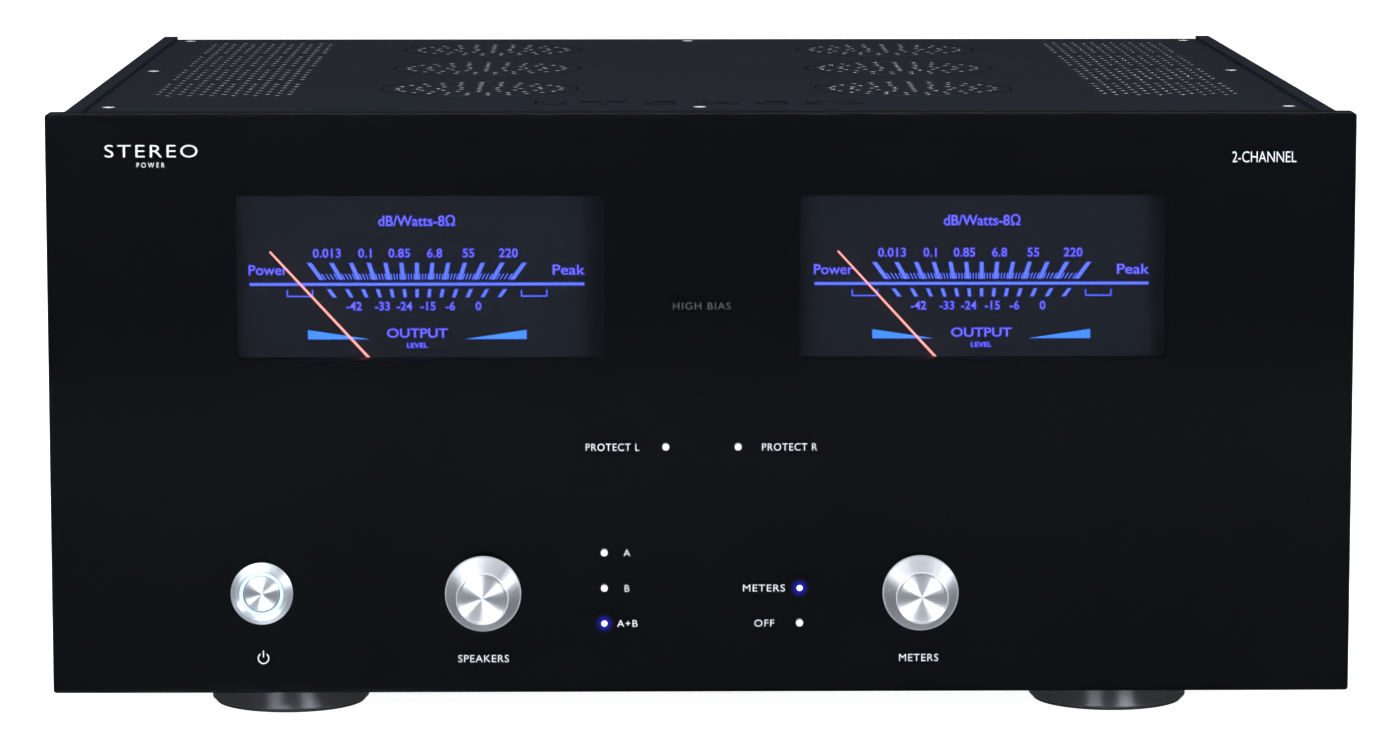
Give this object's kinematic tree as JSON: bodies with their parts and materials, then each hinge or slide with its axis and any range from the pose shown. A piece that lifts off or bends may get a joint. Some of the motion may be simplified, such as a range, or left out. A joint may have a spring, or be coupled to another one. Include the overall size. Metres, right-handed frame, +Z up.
{
  "type": "power amplifier",
  "caption": "Full-width stereo power amplifier with a smoked front, two pointer meters, turned knobs, a vented cover and rear binding posts.",
  "frame": {"origin": "centre of the footprint, on the surface under the rubber pads", "axes": "+Z up, the front faces -Y, +X to the right seen from the front"},
  "size_m": [0.43, 0.4384, 0.2054],
  "materials": {
    "smoked_glass": "polished smoked acrylic",
    "black_aluminium": "black anodised, fine brushed",
    "grey_steel": "satin dark grey paint",
    "zinc_steel": "zinc plated",
    "bright_screws": "bright plated",
    "foot_black": "black anodised, turned",
    "rubber": "matte",
    "spun_aluminium": "spun, radial brushing",
    "bezel_metal": "dark polished",
    "light_ring": "translucent, lit",
    "switch_black": "moulded",
    "brass_nut": "nickel plated brass",
    "indicator_white": "translucent white",
    "circuit_green": "solder resist",
    "meter_case": "moulded",
    "dial_black": "printed dial",
    "magnet_steel": "sintered and plated",
    "pointer_red": "fluorescent red",
    "core_steel": "varnished laminations",
    "winding_copper": "amber tape over copper",
    "capacitor_sleeve": "shrink sleeve",
    "heatsink_black": "black anodised extrusion",
    "transistor_black": "epoxy",
    "gold_plate": "gold plated",
    "connector_black": "glass filled nylon",
    "connector_nickel": "satin nickel",
    "cap_red": "moulded",
    "cap_black": "moulded"
  },
  "bodies": {
    "chassis": {"front_glass": "smoked_glass", "front_panel": "black_aluminium", "inner_front_plate": "zinc_steel", "side_panel_left": "grey_steel", "side_panel_right": "grey_steel", "cover_rails": "zinc_steel", "top_cover": "grey_steel", "bottom_plate": "zinc_steel", "rear_panel": "grey_steel", "cover_screws": "bright_screws", "chassis_screws": "bright_screws", "foot_front_left": "foot_black", "foot_front_right": "foot_black", "foot_rear_left": "foot_black", "foot_rear_right": "foot_black", "foot_pads": "rubber", "power_button_bezel": "bezel_metal", "power_light_ring": "light_ring", "power_switch": "switch_black", "selector_switches": "switch_black", "panel_nuts": "brass_nut", "indicator_lenses": "indicator_white", "display_board": "circuit_green", "meter_cases": "meter_case", "meter_dial_left": "dial_black", "meter_dial_right": "dial_black", "meter_magnets": "magnet_steel", "transformer_core": "core_steel", "transformer_winding": "winding_copper", "transformer_clamp": "zinc_steel", "filter_capacitors": "capacitor_sleeve", "power_supply_board": "circuit_green", "heatsinks": "heatsink_black", "power_transistors": "transistor_black", "driver_boards": "circuit_green", "input_board": "circuit_green", "output_boards": "circuit_green", "rca_jacks": "gold_plate", "xlr_jacks": "connector_black", "mains_inlet": "connector_black", "inlet_pins": "connector_nickel", "terminal_insulators": "connector_black", "terminal_posts": "gold_plate", "input_switch": "switch_black"},
    "power_button": {"power_button": "spun_aluminium"},
    "speaker_selector": {"speaker_knob": "spun_aluminium", "speaker_shaft": "zinc_steel"},
    "meter_selector": {"meter_knob": "spun_aluminium", "meter_shaft": "zinc_steel"},
    "left_pointer": {"meter_pointer_left": "pointer_red"},
    "right_pointer": {"meter_pointer_right": "pointer_red"},
    "input_lever": {"input_switch_lever": "switch_black"},
    "cap_1": {"terminal_cap_1": "cap_red"},
    "cap_2": {"terminal_cap_2": "cap_black"},
    "cap_3": {"terminal_cap_3": "cap_red"},
    "cap_4": {"terminal_cap_4": "cap_black"},
    "cap_5": {"terminal_cap_5": "cap_red"},
    "cap_6": {"terminal_cap_6": "cap_black"},
    "cap_7": {"terminal_cap_7": "cap_red"},
    "cap_8": {"terminal_cap_8": "cap_black"}
  },
  "joints": [
    {"name": "power_press", "type": "slide", "parent": "chassis", "child": "power_button", "axis": [0, 1, 0], "range_m": [0, 0.0015], "stiffness_N_per_m": 600, "springref_m": -0.002},
    {"name": "speaker_turn", "type": "hinge", "parent": "chassis", "child": "speaker_selector", "pos_m": [-0.0724, -0.20675, 0.0465], "axis": [0, 1, 0], "range_deg": [-60, 0]},
    {"name": "meter_turn", "type": "hinge", "parent": "chassis", "child": "meter_selector", "pos_m": [0.0724, -0.20675, 0.0465], "axis": [0, 1, 0], "range_deg": [0, 30]},
    {"name": "left_needle", "type": "hinge", "parent": "chassis", "child": "left_pointer", "pos_m": [-0.094, -0.18675, 0.10575], "axis": [0, 1, 0], "range_deg": [0, 85.2], "stiffness_Nm_per_rad": 0.002, "springref_deg": -11.46},
    {"name": "right_needle", "type": "hinge", "parent": "chassis", "child": "right_pointer", "pos_m": [0.094, -0.18675, 0.10575], "axis": [0, 1, 0], "range_deg": [0, 85.2], "stiffness_Nm_per_rad": 0.002, "springref_deg": -11.46},
    {"name": "input_select", "type": "slide", "parent": "chassis", "child": "input_lever", "axis": [1, 0, 0], "range_m": [0, 0.006]},
    {"name": "cap_1_screw", "type": "slide", "parent": "chassis", "child": "cap_1", "axis": [0, 1, 0], "range_m": [-0.0045, 0.004]},
    {"name": "cap_2_screw", "type": "slide", "parent": "chassis", "child": "cap_2", "axis": [0, 1, 0], "range_m": [-0.0045, 0.004]},
    {"name": "cap_3_screw", "type": "slide", "parent": "chassis", "child": "cap_3", "axis": [0, 1, 0], "range_m": [-0.0045, 0.004]},
    {"name": "cap_4_screw", "type": "slide", "parent": "chassis", "child": "cap_4", "axis": [0, 1, 0], "range_m": [-0.0045, 0.004]},
    {"name": "cap_5_screw", "type": "slide", "parent": "chassis", "child": "cap_5", "axis": [0, 1, 0], "range_m": [-0.0045, 0.004]},
    {"name": "cap_6_screw", "type": "slide", "parent": "chassis", "child": "cap_6", "axis": [0, 1, 0], "range_m": [-0.0045, 0.004]},
    {"name": "cap_7_screw", "type": "slide", "parent": "chassis", "child": "cap_7", "axis": [0, 1, 0], "range_m": [-0.0045, 0.004]},
    {"name": "cap_8_screw", "type": "slide", "parent": "chassis", "child": "cap_8", "axis": [0, 1, 0], "range_m": [-0.0045, 0.004]}
  ]
}
